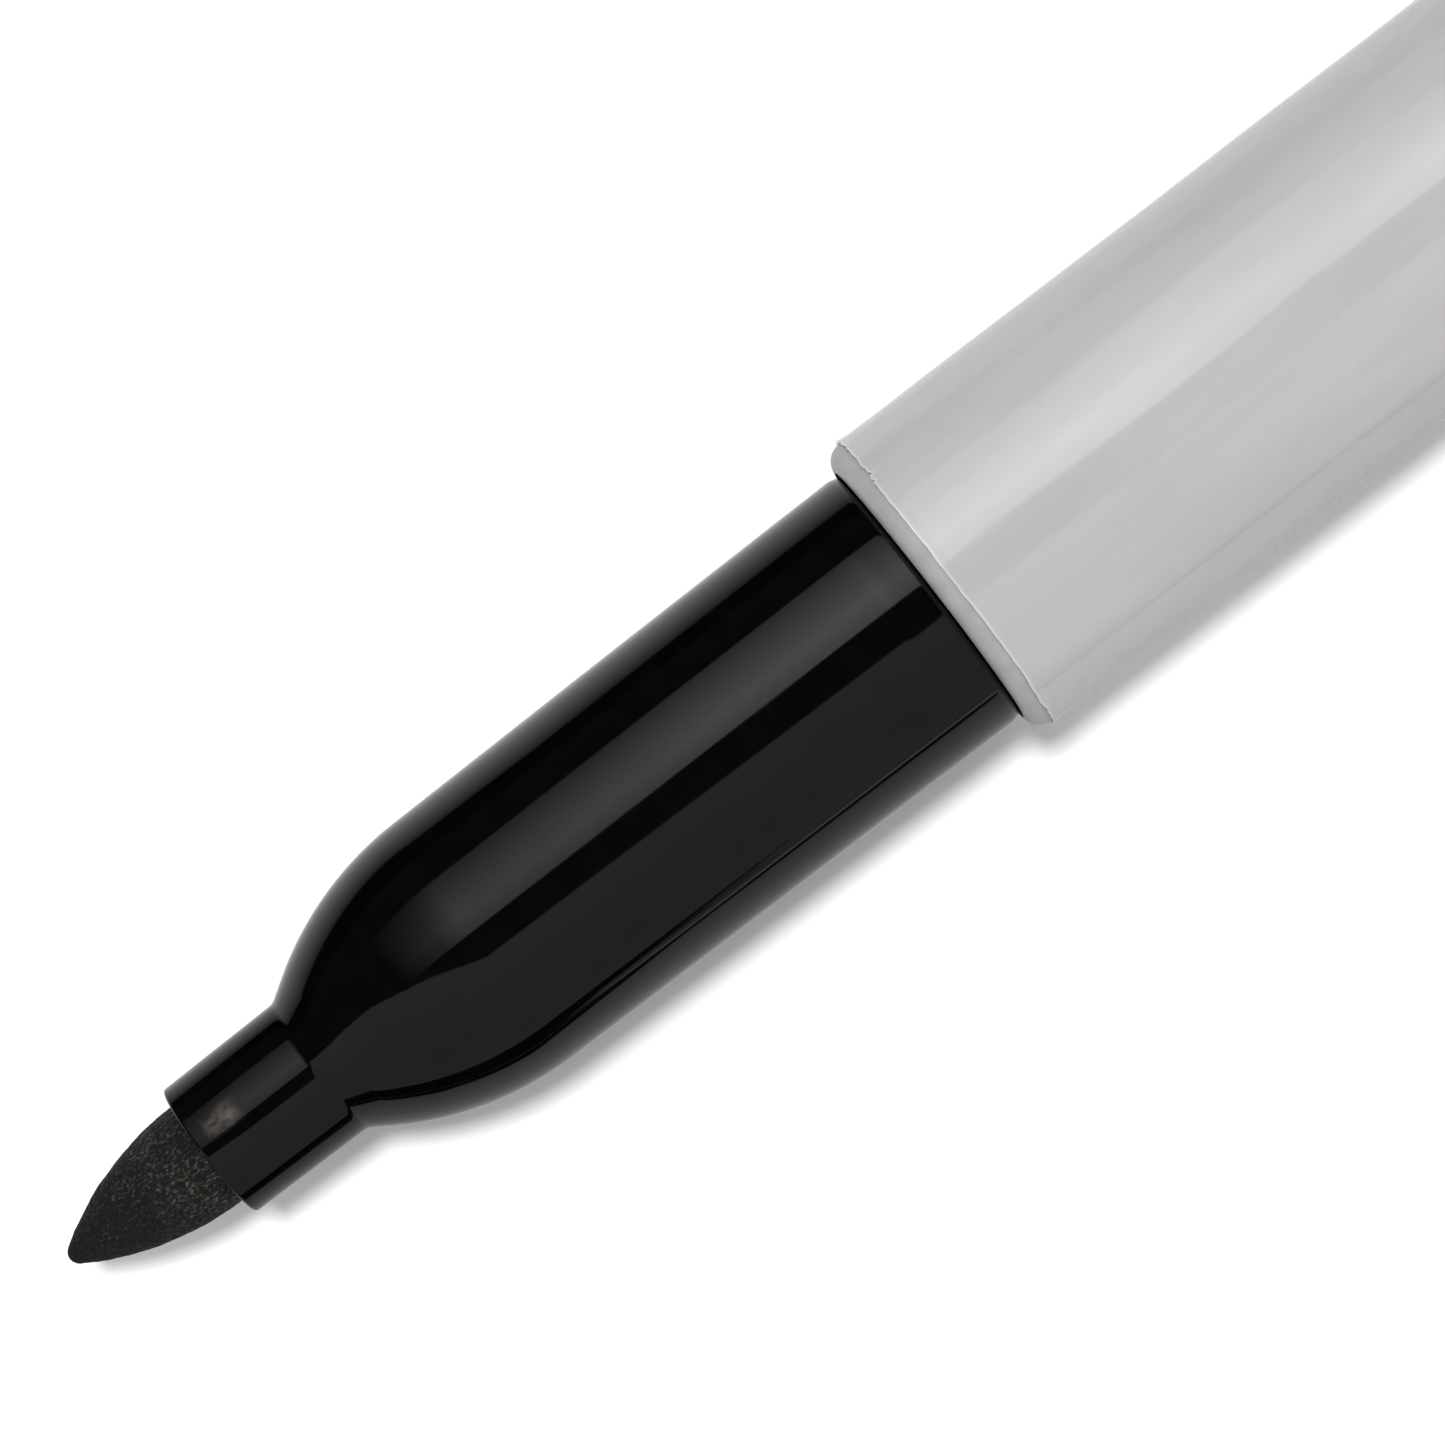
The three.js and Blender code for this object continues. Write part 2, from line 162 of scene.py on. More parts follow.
LINER_MOUTH = 25
LINER_R = 3.3
LINER_BORE_R = 2.55
LINER_FLANGE_R = 4.45
LINER_FLANGE = 1.2

CLIP_ROOT = 38.2
CLIP_LENGTH = 31.25
CLIP_HALF_WIDTH = 2.3
CLIP_TIP_HALF_WIDTH = 2
CLIP_ROOT_OUTER = 8.45
CLIP_TOE_OUTER = 7.7
CLIP_ROOT_THICKNESS = 1.4
CLIP_TOE_THICKNESS = 1.1
CLIP_BOSS_LENGTH = 2
CLIP_BOSS_OUTER = 8.55
CLIP_BOSS_HALF_WIDTH = 2.5
CLIP_BOSS_SLOPE = 1.1            # how far the boss's rear edge falls
CLIP_BOSS_FLAT = 0.8             # length of the boss before it falls
CLIP_SUNK = 0.25                 # how far the boss reaches into the cap's wall
CLIP_TOE_GAP = 0.32              # between the toe and the cap
CLIP_CORNER = 0.38
CLIP_CROWNING = 0.12             # how much the clip's top face rises in the middle


# ---- Mesh tools -------------------------------------------------------------------------------

def smoothstep(low, high, value):
    share = min(max((value - low) / (high - low), 0), 1)
    return share * share * (3 - 2 * share)


def taper(value, start, start_r, end, end_r):
    return start_r + (value - start) / (end - start) * (end_r - start_r)


def barrel_radius(station):
    return taper(station, BARREL_FRONT + LIP_R, BARREL_R, BARREL_REAR, BARREL_END_R)


def cap_radius(depth):
    return taper(depth, 0, CAP_MOUTH_OUTER_R, CAP_LENGTH, CAP_CROWN_OUTER_R)


def arc(along, radius, arc_radius, from_angle, to_angle, steps=16):
    """Points of an arc about (along, radius); the angles are in radians from the +along direction."""
    points = []
    for step in range(steps + 1):
        angle = from_angle + (to_angle - from_angle) * step / steps
        points.append((along + arc_radius * math.cos(angle), radius + arc_radius * math.sin(angle)))
    return points


def refined(outline, spacing):
    """The same outline with no step longer than spacing."""
    points = [outline[0]]
    for start, end in zip(outline, outline[1:]):
        count = max(1, math.ceil(math.dist(start, end) / spacing))
        for step in range(1, count + 1):
            share = step / count
            points.append((start[0] + (end[0] - start[0]) * share, start[1] + (end[1] - start[1]) * share))
    return points


def marker_point(station, radius, degrees):
    """A place in the scene, in metres, from a station, a distance from the axis and an angle."""
    turn = math.radians(degrees)
    outwards = UP * math.cos(turn) - LEFT * math.sin(turn)
    return TIP + ALONG * (station * MM) + outwards * (radius * MM)


def cap_point(depth, radius, degrees):
    return marker_point(CAP_STATION + depth, radius, degrees)


def even_angles(count, extra=()):
    """Degrees all the way round, with a few more lines where a detail needs them."""
    angles = {round(360 * step / count, 4) for step in range(count)}
    for centre, offsets in extra:
        angles = {a for a in angles if abs((a - centre + 180) % 360 - 180) > max(offsets) * 1.3}
        angles |= {round((centre + side * offset) % 360, 4) for offset in offsets for side in (-1, 1)}
    return sorted(angles)


def mesh_object(name, bm, sharp_degrees=38):
    """A smooth-shaded object, with its edges kept sharp where they turn more than sharp_degrees."""
    bmesh.ops.remove_doubles(bm, verts=bm.verts, dist=1e-8)
    bmesh.ops.recalc_face_normals(bm, faces=bm.faces)
    for face in bm.faces:
        face.smooth = True
    limit = math.radians(sharp_degrees)
    for edge in bm.edges:
        if len(edge.link_faces) == 2 and edge.calc_face_angle(0) > limit:
            edge.smooth = False
    mesh = bpy.data.meshes.new(name)
    bm.to_mesh(mesh)
    bm.free()
    made = bpy.data.objects.new(name, mesh)
    bpy.context.collection.objects.link(made)
    return made


def skin_rings(bm, rings, closed):
    """Faces between neighbouring rings of vertices; a ring of one vertex is a pole."""
    pairs = list(zip(rings, rings[1:]))
    if closed:
        pairs.append((rings[-1], rings[0]))
    for first, second in pairs:
        count = max(len(first), len(second))
        for i in range(count):
            j = (i + 1) % count
            if len(first) == 1:
                bm.faces.new((first[0], second[j], second[i]))
            elif len(second) == 1:
                bm.faces.new((first[i], first[j], second[0]))
            else:
                bm.faces.new((first[i], first[j], second[j], second[i]))


def turned(name, outline, place=marker_point, angles=None, warp=None, sharp_degrees=38, tint=None):
    """A body of revolution from (along, radius) points. An outline off the axis closes on itself."""
    angles = angles or even_angles(160)
    bm = bmesh.new()
    tints = bm.verts.layers.float.new("tint") if tint else None
    rings = []
    for along, radius in outline:
        ring_angles = angles if radius > 1e-6 else angles[:1]
        ring = []
        for degrees in ring_angles:
            shape = warp(along, radius, degrees) if warp else (along, radius)
            ring.append(bm.verts.new(place(*shape, degrees)))
            if tint:
                ring[-1][tints] = tint(along)
        rings.append(ring)
    skin_rings(bm, rings, closed=outline[0][1] > 1e-6)
    return mesh_object(name, bm, sharp_degrees)


# ---- Material tools ---------------------------------------------------------------------------

def linear(red, green, blue):
    """A colour given as 8-bit sRGB, as the shader's linear RGBA."""
    def channel(value):
        share = value / 255
        return share / 12.92 if share <= 0.04045 else ((share + 0.055) / 1.055) ** 2.4
    return (channel(red), channel(green), channel(blue), 1)


class Finish:
    """A node material round one Principled shader."""

    def __init__(self, name, **constants):
        self.material = bpy.data.materials.new(name)
        self.material.use_nodes = True
        self.tree = self.material.node_tree
        self.shader = self.tree.nodes["Principled BSDF"]
        for socket, value in constants.items():
            self.shader.inputs[socket.replace("_", " ")].default_value = value
        self.where = self.add("ShaderNodeTexCoord").outputs["Object"]

    def add(self, kind, **settings):
        node = self.tree.nodes.new(kind)
        for key, value in settings.items():
            setattr(node, key, value)
        return node

    def link(self, source, target):
        self.tree.links.new(source, target)

    def stretched(self, scale):
        """Coordinates along, across and up from the marker's axis, scaled by (x, y, z), per metre."""
        mapping = self.add("ShaderNodeMapping", vector_type="TEXTURE")
        mapping.inputs["Rotation"].default_value = (0, -NIB_DIP, 0)
        mapping.inputs["Scale"].default_value = [1 / value for value in scale]
        self.link(self.where, mapping.inputs["Vector"])
        return mapping.outputs["Vector"]

    def noise(self, scale, detail=3, roughness=0.5):
        texture = self.add("ShaderNodeTexNoise")
        texture.inputs["Scale"].default_value = 1
        texture.inputs["Detail"].default_value = detail
        texture.inputs["Roughness"].default_value = roughness
        self.link(self.stretched(scale), texture.inputs["Vector"])
        return texture.outputs["Fac"]

    def cells(self, scale):
        texture = self.add("ShaderNodeTexVoronoi")
        texture.inputs["Scale"].default_value = 1
        self.link(self.stretched(scale), texture.inputs["Vector"])
        return texture.outputs["Distance"]

    def spread(self, source, low, high, to_low, to_high):
        """The source with its range low to high spread over to_low to to_high, and clamped there."""
        ranged = self.add("ShaderNodeMapRange")
        for socket, value in zip(("From Min", "From Max", "To Min", "To Max"), (low, high, to_low, to_high)):
            ranged.inputs[socket].default_value = value
        self.link(source, ranged.inputs["Value"])
        return ranged.outputs["Result"]

    def combine(self, operation, first, second):
        node = self.add("ShaderNodeMath", operation=operation)
        self.link(first, node.inputs[0])
        self.link(second, node.inputs[1])
        return node.outputs["Value"]

    def ramp(self, source, *stops):
        """A colour ramp; each stop is (position, colour)."""
        node = self.add("ShaderNodeValToRGB")
        elements = node.color_ramp.elements
        while len(elements) < len(stops):
            elements.new(0.5)
        for element, (position, colour) in zip(elements, stops):
            element.position = position
            element.color = colour
        self.link(source, node.inputs["Fac"])
        return node.outputs["Color"]

    def window(self, source, middle, half, soft):
        """1 within half of the middle, falling to 0 over soft on either side."""
        rise = self.spread(source, middle - half - soft, middle - half, 0, 1)
        fall = self.spread(source, middle + half, middle + half + soft, 1, 0)
        return self.combine("MULTIPLY", rise, fall)

    def axes(self):
        """Metres along, across and up, from the scene's origin, in line with the marker's axis."""
        split = self.add("ShaderNodeSeparateXYZ")
        self.link(self.stretched((1, 1, 1)), split.inputs["Vector"])
        return split.outputs

    def tinted(self, colour, other, tint, target):
        """Passes colour on to target, and the other colour where tint is 1."""
        full = self.ramp(tint, (0, (0, 0, 0, 1)), (1, other))
        kept = self.ramp(tint, (0, (1, 1, 1, 1)), (1, (0, 0, 0, 1)))
        scaled = self.add("ShaderNodeVectorMath", operation="MULTIPLY_ADD")
        for source, socket in zip((colour, kept, full), scaled.inputs):
            self.link(source, socket)
        self.link(scaled.outputs["Vector"], target)

    def bump(self, height, depth, strength=1):
        """Adds a bump of depth metres on top of any bump already there."""
        node = self.add("ShaderNodeBump")
        node.inputs["Strength"].default_value = strength
        node.inputs["Distance"].default_value = depth
        self.link(height, node.inputs["Height"])
        earlier = self.shader.inputs["Normal"].links
        if earlier:
            self.link(earlier[0].from_socket, node.inputs["Normal"])
        self.link(node.outputs["Normal"], self.shader.inputs["Normal"])


def black_gloss(name, smear_and_reflection=False):
    """Polished black polypropylene: faint flow waviness, light handling marks, and maybe a brownish patch,
    partly a smear and partly a painted reflection.
    """
    made = Finish(name, Roughness=0.05, IOR=1.49)
    black = made.ramp(made.noise((900, 900, 900), 2), (0.3, linear(2, 2, 2)), (0.8, linear(5, 5, 6)))
    if smear_and_reflection:
        # A brownish patch in the colour: partly a smear, partly a painted reflection.
        axes = made.axes()
        along = made.window(axes["X"], TIP.dot(ALONG) + SMEAR_AND_REFLECTION_STATION * MM, 0.2 * MM, 0.55 * MM)
        across = made.window(axes["Y"], SMEAR_AND_REFLECTION_ACROSS * MM, 0.08 * MM, 0.4 * MM)
        patchy = made.spread(made.noise((2300, 3000, 3000), 2), 0.36, 0.58, 0.1, 1)
        smear_and_reflection_mask = made.combine("MULTIPLY", made.combine("MULTIPLY", along, across), patchy)
        made.tinted(black, linear(80, 71, 66), smear_and_reflection_mask, made.shader.inputs["Base Color"])
    else:
        made.link(black, made.shader.inputs["Base Color"])
    marks = made.noise((260, 2600, 2600), 4, 0.6)
    made.link(made.spread(marks, 0.45, 0.8, 0.035, 0.1), made.shader.inputs["Roughness"])
    made.bump(made.noise((60, 240, 240), 2), 4e-6)
    return made.material


def grey_moulding():
    """The barrel's own plastic, satin light grey with a fine moulded grain."""
    made = Finish("grey_moulding", Roughness=0.34, IOR=1.49)
    made.link(
        made.ramp(
            made.noise((700, 1400, 1400), 4), (0.3, linear(148, 147, 146)), (0.75, linear(160, 159, 158)),
        ),
        made.shader.inputs["Base Color"],
    )
    grain = made.noise((9000, 9000, 9000), 2)
    made.link(made.spread(grain, 0.3, 0.7, 0.28, 0.42), made.shader.inputs["Roughness"])
    made.bump(grain, 2.5e-6)
    return made.material


def grey_film():
    """The label film: glossy light grey with long soft wrinkles, and a painted highlight, a paler line, along
    its cut edge.
    """
    made = Finish("grey_film", Roughness=0.16, IOR=1.5, Coat_Weight=1, Coat_Roughness=0.04, Coat_IOR=1.55)
    grey = made.ramp(
        made.noise((120, 700, 700), 3), (0.3, linear(168, 167, 166)), (0.75, linear(175, 174, 173)),
    )
    # The cut edge's paler colour is a painted highlight.
    edge_highlight = made.add("ShaderNodeAttribute", attribute_name="tint").outputs["Fac"]
    made.tinted(grey, linear(192, 192, 192), edge_highlight, made.shader.inputs["Base Color"])
    made.bump(made.noise((90, 420, 420)), 1.6e-5)
    return made.material


def felt():
    """Bonded fibre soaked with black ink, with small pale grains: partly the fibres' own paler ends, partly
    painted highlights on their tops. The grains thin out and the felt gets darker towards the tip.
    """
    made = Finish("felt", IOR=1.35)
    grain = made.cells((6500, 9500, 9500))
    fibres = made.noise((7000, 12000, 12000), 2)
    patches = made.noise((500, 700, 700), 2)
    start = TIP.dot(ALONG)
    # Darker towards the tip, with fewer pale grains there.
    darker_to_tip = made.spread(made.axes()["X"], start + 0.8 * MM, start + 4 * MM, 0.83, 1)
    shade = made.combine("MULTIPLY", fibres, made.spread(patches, 0.36, 0.56, 0.88, 1))
    shade = made.combine("MULTIPLY", shade, darker_to_tip)
    # The palest stop is partly the fibre ends' own colour and partly painted highlight.
    ink, soaked, pale_fibre_and_highlight = linear(20, 18, 19), linear(29, 28, 26), linear(72, 70, 61)
    made.link(made.ramp(shade, (0.4, ink), (0.52, soaked), (0.7, pale_fibre_and_highlight)), made.shader.inputs["Base Color"])
    made.link(made.spread(grain, 0.1, 0.7, 0.5, 0.9), made.shader.inputs["Roughness"])
    made.bump(fibres, 7e-5, 0.9)
    made.bump(grain, -3e-5, 0.7)
    return made.material


def reservoir_fibre():
    """The ink-soaked rod: fine strands that run along it."""
    made = Finish("reservoir_fibre", Roughness=0.85)
    strands = made.noise((300, 9000, 9000), 4, 0.6)
    made.link(
        made.ramp(strands, (0.3, linear(20, 20, 26)), (0.75, linear(60, 60, 72))),
        made.shader.inputs["Base Color"],
    )
    made.bump(strands, 6e-5, 0.8)
    return made.material


def clear_wrap():
    """The clear film round the reservoir, faintly creased."""
    made = Finish("clear_wrap", Roughness=0.12, IOR=1.5, Alpha=0.55)
    crease = made.noise((200, 2000, 2000), 3)
    made.link(
        made.ramp(crease, (0.3, linear(214, 218, 220)), (0.8, linear(232, 236, 238))),
        made.shader.inputs["Base Color"],
    )
    made.bump(crease, 2e-5)
    return made.material


def soft_plastic(name, dark, light):
    """Natural polyethylene, slightly waxy and translucent."""
    made = Finish(name, Roughness=0.4, IOR=1.51, Subsurface_Weight=0.3, Subsurface_Scale=0.001)
    bloom = made.noise((900, 900, 900), 3)
    made.link(made.ramp(bloom, (0.3, dark), (0.8, light)), made.shader.inputs["Base Color"])
    made.link(made.spread(bloom, 0.3, 0.7, 0.34, 0.48), made.shader.inputs["Roughness"])
    made.bump(made.noise((5000, 5000, 5000), 2), 3e-6)
    return made.material


BLACK = black_gloss("black_gloss")
SECTION_BLACK = black_gloss("section_black", smear_and_reflection=True)
GREY = grey_moulding()
FILM = grey_film()
FELT = felt()
RESERVOIR = reservoir_fibre()
WRAP = clear_wrap()
TUBE = soft_plastic("white_tube", linear(224, 224, 218), linear(238, 238, 232))
LINER = soft_plastic("natural_liner", linear(214, 212, 202), linear(228, 226, 216))


def fitted(piece, material, body, slot, *nodes):
    """Gives a finished piece its material and body, and hides the CAD nodes that it stands for. The slot is
    not used.
    """
    piece.data.materials.append(material)
    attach(piece, body)
    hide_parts(*nodes)


# ---- Nib --------------------------------------------------------------------------------------

def nib_outline():
    drop = NIB_OGIVE_R - NIB_R
    ogive_end = NIB_TIP_R + math.sqrt((NIB_OGIVE_R - NIB_TIP_R) ** 2 - drop ** 2)
    blend = math.pi - math.atan2(drop, ogive_end - NIB_TIP_R)
    ball = arc(NIB_TIP_R, 0, NIB_TIP_R, math.pi, blend, 10)
    ogive = arc(ogive_end, -drop, NIB_OGIVE_R, blend, math.pi / 2, 40)
    exposed = refined([(ball[0][0], 0), *ball[1:], *ogive[1:], (NIB_SKIN_END, NIB_R)], 0.045)
    return exposed + [
        (NIB_LENGTH - NIB_CHAMFER, NIB_R),
        (NIB_LENGTH, NIB_R - NIB_CHAMFER),
        (NIB_LENGTH, 0),
    ]


def felt_surface(station, radius, degrees):
    """Shallow pits and fibre ends all over the exposed felt."""
    turn = math.radians(degrees)
    y, z = radius * math.cos(turn), radius * math.sin(turn)
    grains = noise.noise(Vector((station * 4.6, y * 7, z * 7)))
    lumps = noise.noise(Vector((station * 1.3, y * 1.7, z * 1.7)))
    fade = smoothstep(7, 5.5, station) * smoothstep(0, 0.25, radius)
    return station, radius + fade * (GRAIN_HEIGHT * grains + LUMP_HEIGHT * lumps - SURFACE_SINK)


nib = turned("nib", nib_outline(), angles=even_angles(260), warp=felt_surface, sharp_degrees=60)
fitted(nib, FELT, "marker", "felt", "felt_nib")


# ---- Front section ----------------------------------------------------------------------------

def section_outline():
    up = math.pi / 2
    tuck = BARREL_FRONT - GRIP_TUCK
    outer = [
        *arc(NOZZLE_FRONT + NOZZLE_EDGE_R, NOZZLE_R - NOZZLE_EDGE_R, NOZZLE_EDGE_R, math.pi, up, 8),
        *arc(NOZZLE_END, NOZZLE_END_R + SHOULDER_FILLET_R, SHOULDER_FILLET_R, -up, SHOULDER_ANGLE - up),
        *arc(SHOULDER_END, SHOULDER_END_R - SHOULDER_ARC_R, SHOULDER_ARC_R, up + SHOULDER_ANGLE, up, 48),
        (GRIP_MIDDLE, GRIP_MIDDLE_R),
        (tuck, GRIP_R),
        (tuck + GRIP_TUCK * 0.45, GRIP_R - GRIP_TUCK_DROP * 0.35),
        (BARREL_FRONT, GRIP_R - GRIP_TUCK_DROP),
        (BARREL_FRONT + 1.6, SPIGOT_R),
        (SPIGOT_END - 0.6, SPIGOT_R),
        (SPIGOT_END, SPIGOT_R - 0.35),
    ]
    bore = [
        (SPIGOT_END, CAVITY_R),
        (WEB_END + CAVITY_R - NIB_BORE_R, CAVITY_R),
        (WEB_END, NIB_BORE_R),
        (NOZZLE_FRONT + 0.06, NIB_BORE_R),
        (NOZZLE_FRONT, NIB_BORE_R + 0.06),
    ]
    return refined(outer, 1.5) + bore


def parting_line(station, radius, degrees):
    """The faint ridge where the two halves of the mould met."""
    if radius < NIB_BORE_R + 0.3 or not PARTING_START < station < BARREL_FRONT:
        return station, radius
    away = min(abs((degrees - side + 180) % 360 - 180) for side in (PARTING_DEGREES, PARTING_DEGREES + 180))
    height = PARTING_HEIGHT * smoothstep(PARTING_START, PARTING_START + 5, station)
    return station, radius + height * smoothstep(PARTING_HALF_WIDTH, 0, away)


ridge_lines = (0, PARTING_HALF_WIDTH * 0.5, PARTING_HALF_WIDTH)
section_angles = even_angles(200, [(PARTING_DEGREES, ridge_lines), (PARTING_DEGREES + 180, ridge_lines)])
section = turned("section", section_outline(), angles=section_angles, warp=parting_line)
fitted(section, SECTION_BLACK, "marker", "black_plastic", "front_section")


# ---- Barrel and film --------------------------------------------------------------------------

def barrel_outline():
    lip = arc(BARREL_FRONT + LIP_R, BARREL_R - LIP_R, LIP_R, math.pi, math.pi / 2, 20)
    rear_edge = arc(BARREL_REAR - 0.3, barrel_radius(BARREL_REAR) - 0.3, 0.3, math.pi / 2, 0, 6)
    plug_bore = BARREL_END_R - BARREL_WALL
    bore = [
        (BARREL_REAR, plug_bore),
        (PLUG_FRONT - 2, plug_bore),
        (SPIGOT_END + 1.2, barrel_radius(SPIGOT_END) - BARREL_WALL),
        (SPIGOT_END + 1, SPIGOT_BORE_R),
        (BARREL_FRONT + 1.75, SPIGOT_BORE_R),
        (BARREL_FRONT + 1.5, BARREL_R - LIP_R),
    ]
    return lip + rear_edge + bore


barrel = turned("barrel_shell", barrel_outline())
fitted(barrel, GREY, "marker", "grey_plastic", "barrel")


def film_outline():
    def skin(height):
        return lambda station: (station, barrel_radius(station) + height)
    under, over = skin(FILM_LIFT), skin(FILM_LIFT + FILM_THICKNESS)
    near = [FILM_FRONT + 0.04 * step for step in range(15)]
    far = [FILM_FRONT + 0.8 + 0.8 * step for step in range(int((FILM_REAR - FILM_FRONT - 0.8) / 0.8))]
    stations = near + far + [FILM_REAR]
    edge_r = (under(FILM_FRONT)[1] + over(FILM_FRONT)[1]) / 2
    rim = [(FILM_FRONT, under(FILM_FRONT)[1] + 0.012), (FILM_FRONT - 0.012, edge_r)]
    return rim + [over(station) for station in stations] + [under(FILM_REAR), under(FILM_FRONT + 0.02)]


# Degrees round the marker, half width in degrees and depth in millimetres of each nick.
NICKS = ((-47, 1.5, 0.1), (-43.5, 1.2, 0.07), (-50, 1, 0.05), (64, 1.2, 0.05), (150, 1.5, 0.1))


def film_edge(degrees):
    """How far the cut edge wanders, and a few small nicks in it."""
    turn = math.radians(degrees)
    slow = noise.noise(Vector((math.cos(turn) * 1.6, math.sin(turn) * 1.6, 3)))
    fast = noise.noise(Vector((math.cos(turn) * 14, math.sin(turn) * 14, 9)))
    nicks = 0
    for centre, half_width, depth in NICKS:
        away = abs((degrees - centre + 180) % 360 - 180)
        nicks = max(nicks, depth * smoothstep(half_width, 0, away))
    return EDGE_WANDER * slow + EDGE_ROUGHNESS * fast + nicks


def film_wave(station, radius, degrees):
    """The film's wandering cut edge, which curls up a little, and the waves in its outer face."""
    behind = station - FILM_FRONT
    edge = film_edge(degrees) * smoothstep(0.9, 0, behind)
    curl = FILM_CURL * smoothstep(FILM_CURL_LENGTH, 0, behind)
    if behind > 0.03 and radius < barrel_radius(station) + FILM_LIFT + 0.01:
        return station + edge, radius
    turn = math.radians(degrees)
    ripple = noise.noise(Vector((station * 0.17, math.cos(turn) * 2.6, math.sin(turn) * 2.6)))
    crease = noise.noise(Vector((station * 0.36, math.cos(turn) * 6, math.sin(turn) * 6 + 5)))
    lift = (RIPPLE_HEIGHT * ripple + CREASE_HEIGHT * crease) * smoothstep(0, 1.5, behind)
    return station + edge, radius + curl * (0.5 + abs(ripple)) + lift


film_angles = even_angles(300, [(nick[0] % 360, (0, 0.35, 0.7, 1.1)) for nick in NICKS[:2]])
# The tint layer carries the painted highlight along the film's cut edge.
film = turned(
    "film_skin", film_outline(), angles=film_angles, warp=film_wave, sharp_degrees=50,
    tint=lambda station: smoothstep(FILM_FRONT + EDGE_HIGHLIGHT_WIDTH, FILM_FRONT, station),
)
fitted(film, FILM, "marker", "grey_film", "barrel_film")


# ---- Rear plug --------------------------------------------------------------------------------

def plug_outline():
    shoulder = BARREL_REAR + 0.06
    edge = arc(MARKER_LENGTH - TAIL_EDGE_R, TAIL_END_R - TAIL_EDGE_R, TAIL_EDGE_R, math.pi / 2, 0, 14)
    inner_end = MARKER_LENGTH - PLUG_WALL
    inner_r = PLUG_SPIGOT_R - PLUG_WALL
    return [
        (inner_end, 0),
        *arc(inner_end - 0.8, inner_r - 0.8, 0.8, 0, math.pi / 2, 6),
        (PLUG_FRONT, inner_r),
        (PLUG_FRONT, PLUG_SPIGOT_R - 0.4),
        (PLUG_FRONT + 0.6, PLUG_SPIGOT_R),
        (shoulder, PLUG_SPIGOT_R),
        (shoulder, TAIL_R - 0.15),
        *arc(shoulder + 0.15, TAIL_R - 0.15, 0.15, math.pi, math.pi / 2, 5),
        *edge,
        (MARKER_LENGTH, TAIL_RECESS_R + 0.1),
        (MARKER_LENGTH - TAIL_RECESS_DEPTH, TAIL_RECESS_R),
        (MARKER_LENGTH - TAIL_RECESS_DEPTH, 0),
    ]


plug = turned("tail_plug", plug_outline())
fitted(plug, BLACK, "marker", "black_plastic", "rear_plug")


# ---- Cap --------------------------------------------------------------------------------------

def cap_outline():
    up = math.pi / 2
    crown = CAP_LENGTH - CAP_CROWN_EDGE_R
    recess = CAP_LENGTH - CROWN_RECESS_DEPTH
    return [
        (CAP_INNER_DEPTH, 0),
        (CAP_INNER_DEPTH, CAP_DEEP_R),
        (CAP_DEEP_START, CAP_DEEP_R),
        (CAP_BORE_END, CAP_BORE_R),
        (0.4, CAP_BORE_R),
        (0, CAP_BORE_R + 0.3),
        *arc(CAP_MOUTH_EDGE_R, CAP_MOUTH_OUTER_R - CAP_MOUTH_EDGE_R, CAP_MOUTH_EDGE_R, math.pi, up, 10),
        *arc(crown, cap_radius(crown) - CAP_CROWN_EDGE_R, CAP_CROWN_EDGE_R, up, 0, 18),
        (CAP_LENGTH, CROWN_RECESS_R + 0.15),
        (recess, CROWN_RECESS_R),
        (recess, CROWN_PIP_R + 0.1),
        (recess + 0.1, CROWN_PIP_R),
        (recess + 0.1, 0),
    ]


cap = turned("cap_body", cap_outline(), place=cap_point)
fitted(cap, BLACK, "cap", "black_plastic", "cap_shell")


def liner_outline():
    base = CAP_INNER_DEPTH - 0.05
    return [
        (base - LINER_FLANGE, 0),
        (base - LINER_FLANGE, LINER_BORE_R),
        (LINER_MOUTH + 0.5, LINER_BORE_R),
        (LINER_MOUTH, LINER_BORE_R + 0.25),
        (LINER_MOUTH, LINER_R - 0.15),
        (LINER_MOUTH + 0.3, LINER_R),
        (base - LINER_FLANGE - 0.5, LINER_R),
        (base - LINER_FLANGE, LINER_R + 0.5),
        (base - LINER_FLANGE, LINER_FLANGE_R),
        (base, LINER_FLANGE_R),
        (base, 0),
    ]


liner = turned("cap_seal", liner_outline(), place=cap_point)
fitted(liner, LINER, "cap", "soft_liner", "cap_liner")


# ---- Clip -------------------------------------------------------------------------------------

def clip_place(depth, across, height):
    """A point of the clip, by its depth, its offset sideways and its distance from the marker's axis."""
    base = marker_point(CAP_STATION + depth, 0, 0)
    return base + CLIP_AXIS * (across * MM) + CLIP_OUT * (height * MM)


